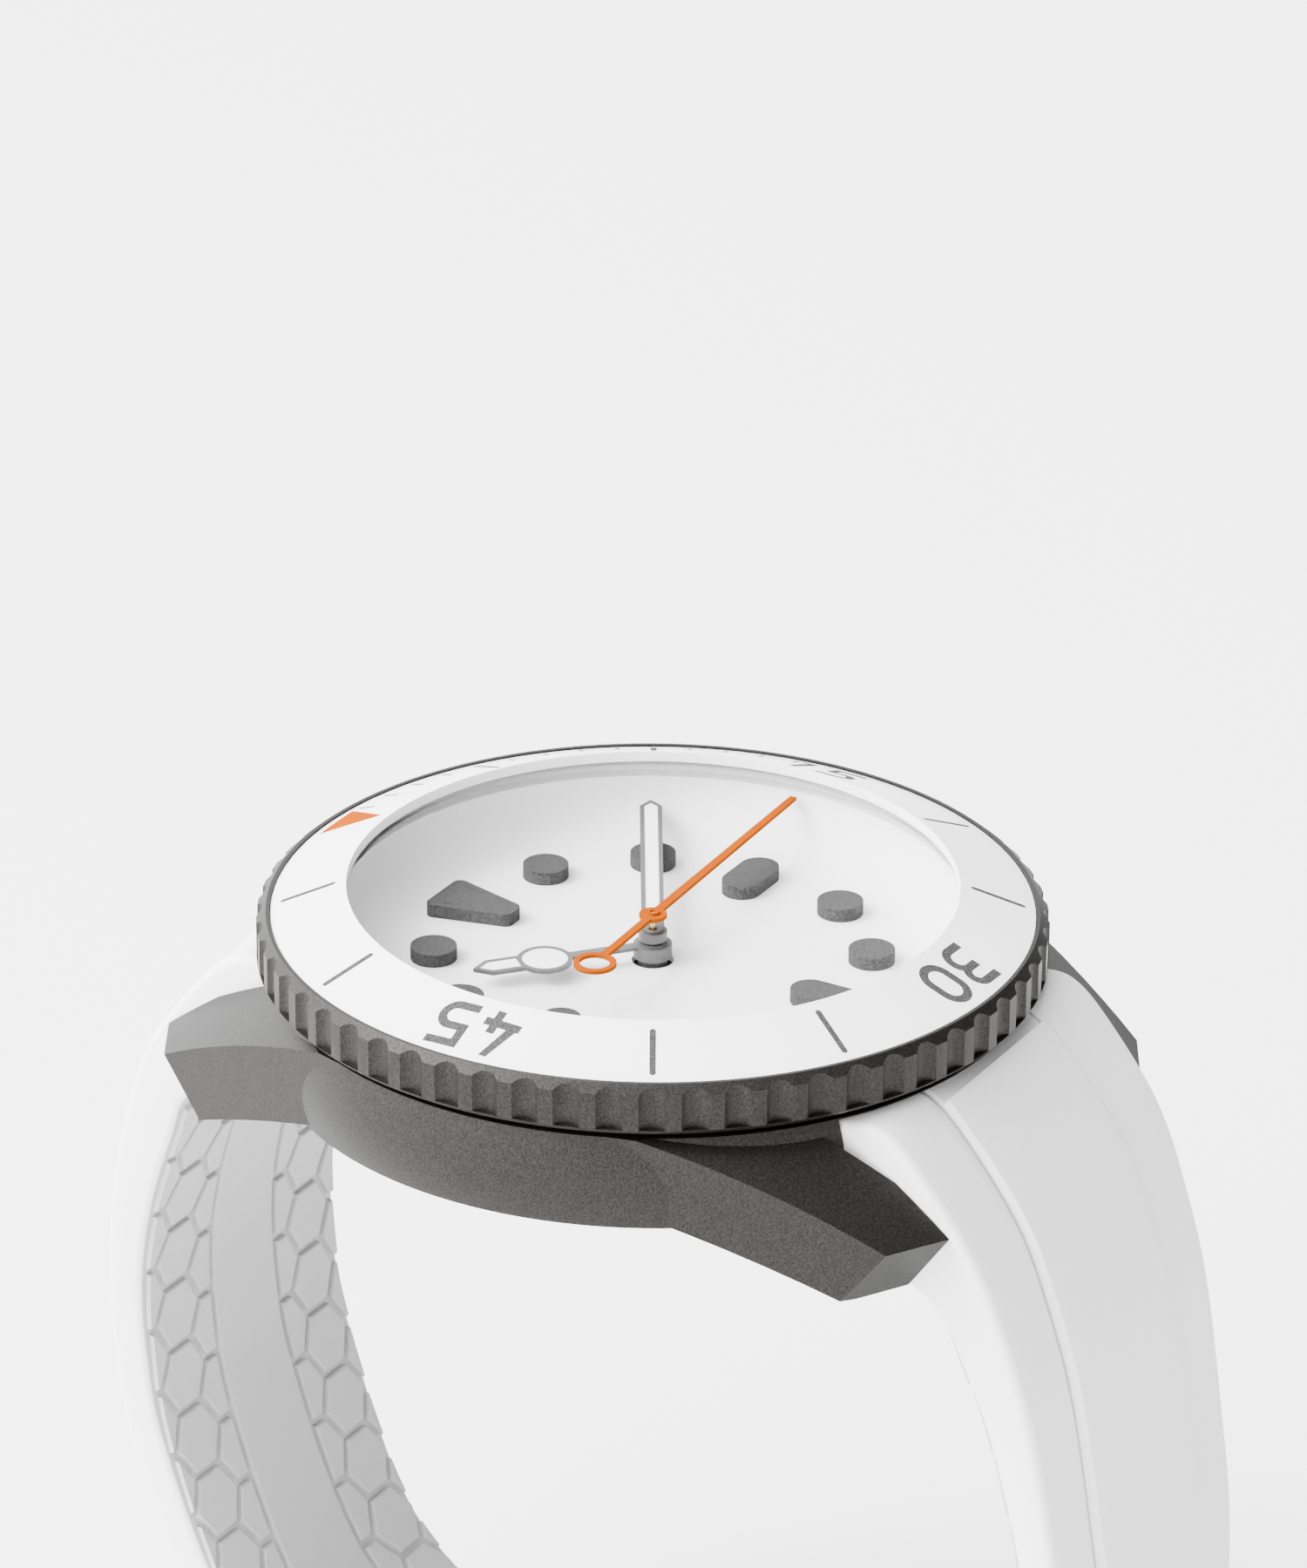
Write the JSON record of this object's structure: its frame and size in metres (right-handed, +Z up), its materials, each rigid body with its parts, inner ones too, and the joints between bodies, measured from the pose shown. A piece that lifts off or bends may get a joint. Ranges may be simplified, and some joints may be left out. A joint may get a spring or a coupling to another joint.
{
  "type": "wristwatch",
  "caption": "Dive watch with turning bezel, domed-edge crystal, raised hour markers and a white rubber strap closed on a pin buckle, standing on its buckle.",
  "frame": {"origin": "centre of the fixed strap keeper's flat outer face, straight under the dial's axis, on the surface the closed watch stands on", "axes": "+X towards 3 o'clock and the crown, +Y towards 12 o'clock, +Z up along the dial's axis, out through the crystal"},
  "size_m": [0.0467, 0.0621, 0.0615],
  "materials": {
    "case_metal": "bead blasted, satin",
    "white_ceramic": "glossy ceramic",
    "grey_inlay": "matt, fine grain",
    "orange_lacquer": "satin lacquer",
    "sapphire": "clear, polished",
    "black_rubber": "matt",
    "white_gasket": "matt",
    "spring_steel": "satin",
    "white_dial": "matt",
    "satin_hand": "satin",
    "white_lume": "matt",
    "nickel_plate": "brushed",
    "gilt_brass": "satin",
    "blued_steel": "polished",
    "ruby": "polished",
    "white_strap": "matt"
  },
  "bodies": {
    "case": {"mid_case": "case_metal", "case_back": "case_metal", "case_back_gasket": "black_rubber", "crystal": "sapphire", "crystal_gasket": "white_gasket", "bezel_click_spring": "spring_steel", "dial": "white_dial", "hour_markers": "grey_inlay", "crown_tube": "spring_steel", "movement_holder": "white_gasket", "main_plate": "nickel_plate", "barrel_bridge": "nickel_plate", "train_bridge": "nickel_plate", "pallet_bridge": "nickel_plate", "balance_cock": "nickel_plate", "rotor_bearing": "spring_steel", "jewels": "ruby", "bridge_screws": "blued_steel", "lug_spring_bars": "spring_steel", "strap_short": "white_strap", "strap_long": "white_strap", "strap_fixed_keeper": "white_strap", "buckle_spring_bar": "spring_steel"},
    "bezel": {"bezel_ring": "case_metal", "bezel_insert": "white_ceramic", "bezel_numerals": "grey_inlay", "bezel_triangle": "orange_lacquer"},
    "crown_carrier": {"crown_gasket": "black_rubber"},
    "crown_and_stem": {"crown": "case_metal", "winding_stem": "spring_steel"},
    "winding_pinion": {"winding_pinion": "spring_steel"},
    "sliding_pinion": {"sliding_pinion": "spring_steel"},
    "crown_wheel": {"crown_wheel": "spring_steel"},
    "ratchet_and_arbor": {"ratchet_wheel": "spring_steel", "barrel_arbor": "spring_steel"},
    "barrel": {"barrel_drum": "gilt_brass", "mainspring": "blued_steel"},
    "centre": {"centre_wheel": "gilt_brass"},
    "third": {"third_wheel": "gilt_brass"},
    "seconds": {"fourth_wheel": "gilt_brass", "seconds_hand": "orange_lacquer"},
    "escape": {"escape_wheel": "spring_steel"},
    "pallets": {"pallet_fork": "spring_steel"},
    "balance": {"balance_wheel": "gilt_brass", "hairspring": "blued_steel"},
    "minutes": {"cannon_pinion": "satin_hand", "minute_hand": "satin_hand", "minute_hand_lume": "white_lume"},
    "minute_wheel": {"minute_wheel": "gilt_brass"},
    "hours": {"hour_wheel": "satin_hand", "hour_hand": "satin_hand", "hour_hand_lume": "white_lume"},
    "rotor": {"rotor": "nickel_plate"},
    "reverser": {"reversing_wheel": "nickel_plate"},
    "free_keeper": {"strap_free_keeper": "white_strap"},
    "buckle": {"buckle_frame": "case_metal"},
    "tongue": {"buckle_tongue": "spring_steel"}
  },
  "joints": [
    {"name": "bezel_turn", "type": "hinge", "parent": "case", "child": "bezel", "pos_m": [0, 0, 0.06], "axis": [0, 0, 1], "continuous": true},
    {"name": "crown_pull", "type": "slide", "parent": "case", "child": "crown_carrier", "axis": [1, 0, 0], "range_m": [0, 0.0012]},
    {"name": "crown_turn", "type": "hinge", "parent": "crown_carrier", "child": "crown_and_stem", "pos_m": [0, 0, 0.0535], "axis": [1, 0, 0], "continuous": true},
    {"name": "winding_pinion_turn", "type": "hinge", "parent": "case", "child": "winding_pinion", "pos_m": [0, 0, 0.0535], "axis": [1, 0, 0], "continuous": true},
    {"name": "sliding_pinion_turn", "type": "hinge", "parent": "case", "child": "sliding_pinion", "pos_m": [0, 0, 0.0535], "axis": [1, 0, 0], "continuous": true},
    {"name": "crown_wheel_turn", "type": "hinge", "parent": "case", "child": "crown_wheel", "pos_m": [0.0056, 0, 0.06], "axis": [0, 0, 1], "continuous": true},
    {"name": "ratchet_turn", "type": "hinge", "parent": "case", "child": "ratchet_and_arbor", "pos_m": [0.00279, 0.00573, 0.06], "axis": [0, 0, 1], "continuous": true},
    {"name": "seconds_turn", "type": "hinge", "parent": "case", "child": "seconds", "pos_m": [0, 0, 0.06], "axis": [0, 0, 1], "continuous": true},
    {"name": "third_turn", "type": "hinge", "parent": "case", "child": "third", "pos_m": [-0.00154, -0.00423, 0.06], "axis": [0, 0, 1], "continuous": true},
    {"name": "centre_turn", "type": "hinge", "parent": "case", "child": "centre", "pos_m": [0, 0, 0.06], "axis": [0, 0, 1], "continuous": true},
    {"name": "barrel_turn", "type": "hinge", "parent": "case", "child": "barrel", "pos_m": [0.00279, 0.00573, 0.06], "axis": [0, 0, 1], "continuous": true},
    {"name": "escape_turn", "type": "hinge", "parent": "case", "child": "escape", "pos_m": [0.00329, -0.00296, 0.06], "axis": [0, 0, 1], "continuous": true},
    {"name": "pallets_swing", "type": "hinge", "parent": "case", "child": "pallets", "pos_m": [0.00381, -0.00545, 0.06], "axis": [0, 0, 1], "range_deg": [-2, 2]},
    {"name": "balance_swing", "type": "hinge", "parent": "case", "child": "balance", "pos_m": [0.0042, -0.00728, 0.06], "axis": [0, 0, 1], "range_deg": [-135, 135]},
    {"name": "minutes_turn", "type": "hinge", "parent": "case", "child": "minutes", "pos_m": [0, 0, 0.06], "axis": [0, 0, 1], "continuous": true},
    {"name": "minute_wheel_turn", "type": "hinge", "parent": "case", "child": "minute_wheel", "pos_m": [0.00294, -0.00247, 0.06], "axis": [0, 0, 1], "continuous": true},
    {"name": "hours_turn", "type": "hinge", "parent": "case", "child": "hours", "pos_m": [0, 0, 0.06], "axis": [0, 0, 1], "continuous": true},
    {"name": "rotor_swing", "type": "hinge", "parent": "case", "child": "rotor", "pos_m": [0, 0, 0.06], "axis": [0, 0, 1], "continuous": true},
    {"name": "reverser_turn", "type": "hinge", "parent": "case", "child": "reverser", "pos_m": [-0.00376, -0.00137, 0.06], "axis": [0, 0, 1], "continuous": true},
    {"name": "free_keeper_slide", "type": "slide", "parent": "case", "child": "free_keeper", "axis": [0, 1, 0], "range_m": [-0.0024, 0.0026]},
    {"name": "buckle_swing", "type": "hinge", "parent": "case", "child": "buckle", "pos_m": [0, -0.0046, 0.0049], "axis": [1, 0, 0], "range_deg": [0, 6]},
    {"name": "tongue_swing", "type": "hinge", "parent": "buckle", "child": "tongue", "pos_m": [0, -0.0046, 0.0049], "axis": [1, 0, 0], "range_deg": [0, 5]}
  ],
  "couplings": [
    {"joint": "winding_pinion_turn", "follows": "crown_turn", "ratio": 1},
    {"joint": "sliding_pinion_turn", "follows": "crown_turn", "ratio": 1},
    {"joint": "crown_wheel_turn", "follows": "crown_turn", "ratio": 0.63636},
    {"joint": "ratchet_turn", "follows": "crown_turn", "ratio": -0.36842},
    {"joint": "third_turn", "follows": "seconds_turn", "ratio": -0.13333},
    {"joint": "centre_turn", "follows": "seconds_turn", "ratio": 0.016667},
    {"joint": "barrel_turn", "follows": "seconds_turn", "ratio": -0.0027778},
    {"joint": "escape_turn", "follows": "seconds_turn", "ratio": -12},
    {"joint": "minute_wheel_turn", "follows": "minutes_turn", "ratio": -0.33333},
    {"joint": "hours_turn", "follows": "minutes_turn", "ratio": 0.083333},
    {"joint": "reverser_turn", "follows": "rotor_swing", "ratio": -0.8}
  ]
}
